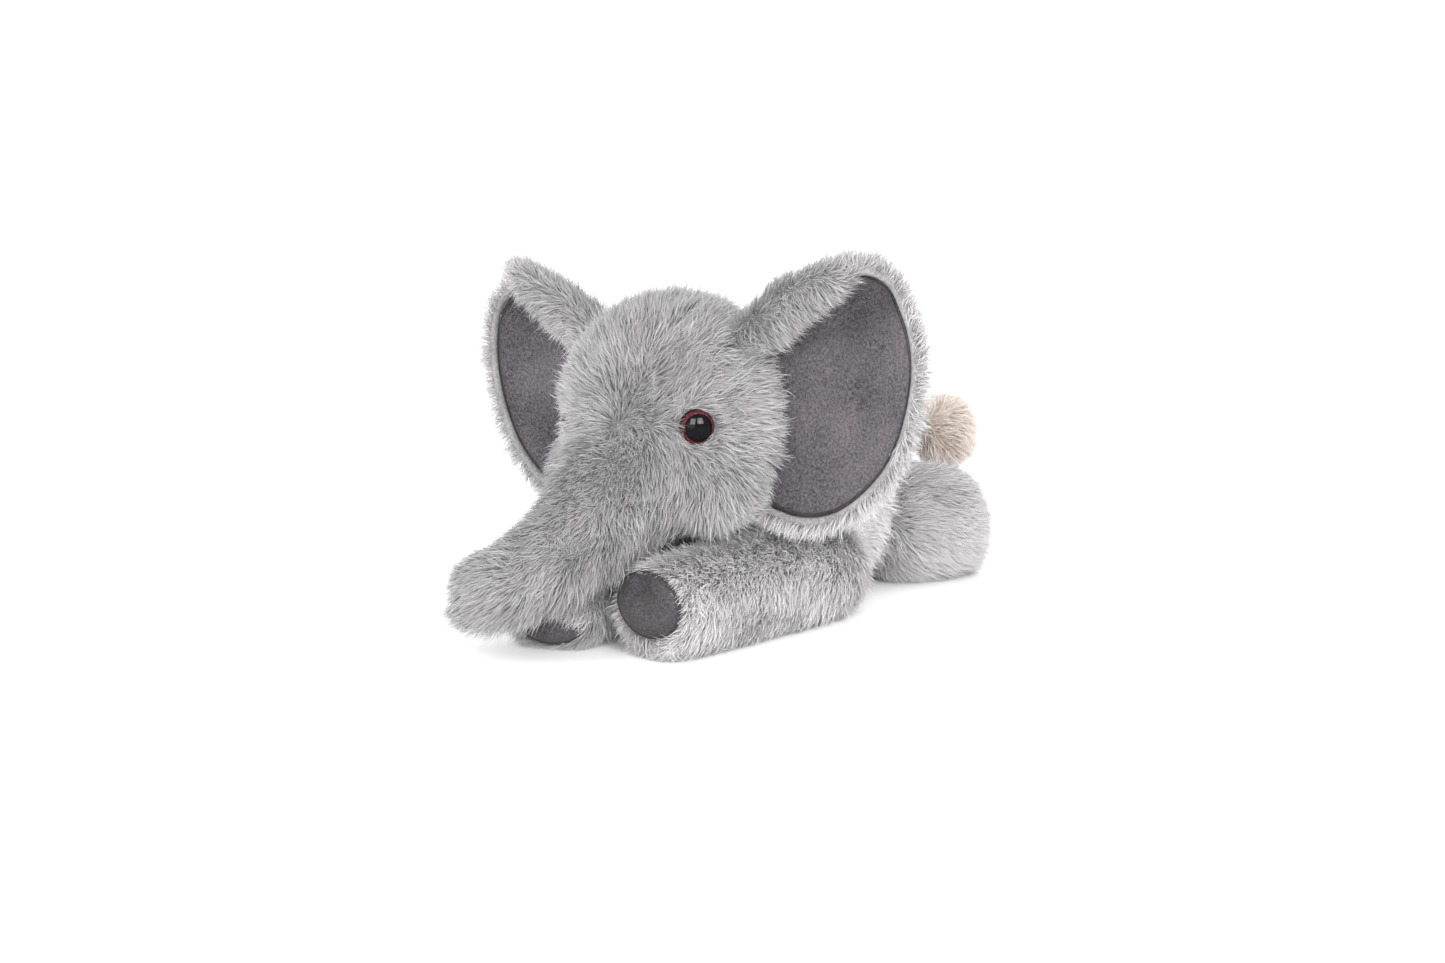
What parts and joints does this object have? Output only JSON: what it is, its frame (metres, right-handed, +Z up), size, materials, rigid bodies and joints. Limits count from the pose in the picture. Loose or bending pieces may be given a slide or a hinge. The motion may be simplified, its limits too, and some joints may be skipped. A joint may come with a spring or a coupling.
{
  "type": "plush_elephant",
  "caption": "Lying plush elephant in long grey fur with velour-lined ears and soles, safety eyes, hinged head, trunk, ears, legs and a beige tail tuft.",
  "frame": {"origin": "on the floor plane, at the middle of the belly's flat underside", "axes": "+Z up, the elephant faces -Y, its own left side is +X"},
  "size_m": [0.2228, 0.3247, 0.161],
  "materials": {
    "fur_fabric": "long pile, soft and matte",
    "velour": "short nap, matte",
    "tuft_fur": "long pile, soft and matte",
    "stuffing": "loose polyester fibre",
    "pellet_cloth": "plain woven pouch",
    "eye_plastic": "polished dome",
    "washer_plastic": "moulded, matte"
  },
  "bodies": {
    "torso": {"torso_panel_left": "fur_fabric", "torso_panel_right": "fur_fabric", "belly_panel": "fur_fabric", "torso_stuffing": "stuffing", "pellet_bag": "pellet_cloth"},
    "head": {"head_side_left": "fur_fabric", "head_side_right": "fur_fabric", "crown_strip": "fur_fabric", "chin_panel": "fur_fabric", "head_stuffing": "stuffing", "eye_left": "eye_plastic", "eye_right": "eye_plastic", "eye_washer_left": "washer_plastic", "eye_washer_right": "washer_plastic"},
    "trunk": {"trunk_panel_left": "fur_fabric", "trunk_panel_right": "fur_fabric", "trunk_stuffing": "stuffing"},
    "ear_left": {"ear_back_left": "fur_fabric", "ear_lining_left": "velour"},
    "ear_right": {"ear_back_right": "fur_fabric", "ear_lining_right": "velour"},
    "front_leg_left": {"front_leg_left_panel_outer": "fur_fabric", "front_leg_left_panel_inner": "fur_fabric", "front_leg_left_stuffing": "stuffing", "front_leg_left_sole": "velour"},
    "front_leg_right": {"front_leg_right_panel_outer": "fur_fabric", "front_leg_right_panel_inner": "fur_fabric", "front_leg_right_stuffing": "stuffing", "front_leg_right_sole": "velour"},
    "rear_leg_left": {"rear_leg_left_panel_outer": "fur_fabric", "rear_leg_left_panel_inner": "fur_fabric", "rear_leg_left_stuffing": "stuffing", "rear_leg_left_sole": "velour"},
    "rear_leg_right": {"rear_leg_right_panel_outer": "fur_fabric", "rear_leg_right_panel_inner": "fur_fabric", "rear_leg_right_stuffing": "stuffing", "rear_leg_right_sole": "velour"},
    "tail": {"tail_stem": "fur_fabric", "tail_tuft": "tuft_fur"}
  },
  "joints": [
    {"name": "neck_nod", "type": "hinge", "parent": "torso", "child": "head", "pos_m": [0, -0.052, 0.07], "axis": [-1, 0, 0], "range_deg": [0, 20]},
    {"name": "trunk_lift", "type": "hinge", "parent": "head", "child": "trunk", "pos_m": [0.00073, -0.104, 0.07902], "axis": [-0.9981, 0, -0.061], "range_deg": [0, 30]},
    {"name": "ear_flap_left", "type": "hinge", "parent": "head", "child": "ear_left", "pos_m": [0.0385, -0.066, 0.10037], "axis": [-0.061, 0, 0.9981], "range_deg": [-15, 40]},
    {"name": "ear_flap_right", "type": "hinge", "parent": "head", "child": "ear_right", "pos_m": [-0.03936, -0.066, 0.09561], "axis": [0.061, 0, -0.9981], "range_deg": [-15, 40]},
    {"name": "front_leg_left_swing", "type": "hinge", "parent": "torso", "child": "front_leg_left", "pos_m": [0.04487, -0.04061, 0.01936], "axis": [0, 0, 1], "range_deg": [0, 35]},
    {"name": "front_leg_right_swing", "type": "hinge", "parent": "torso", "child": "front_leg_right", "pos_m": [-0.0424, -0.0424, 0.01884], "axis": [0, 0, -1], "range_deg": [0, 35]},
    {"name": "rear_leg_left_swing", "type": "hinge", "parent": "torso", "child": "rear_leg_left", "pos_m": [0.04291, 0.05182, 0.02306], "axis": [0, 0, -1], "range_deg": [0, 20]},
    {"name": "rear_leg_right_swing", "type": "hinge", "parent": "torso", "child": "rear_leg_right", "pos_m": [-0.04291, 0.05182, 0.02306], "axis": [0, 0, 1], "range_deg": [0, 20]},
    {"name": "tail_wag", "type": "hinge", "parent": "torso", "child": "tail", "pos_m": [0.002, 0.092, 0.056], "axis": [0, 0, 1], "range_deg": [-35, 35]}
  ]
}
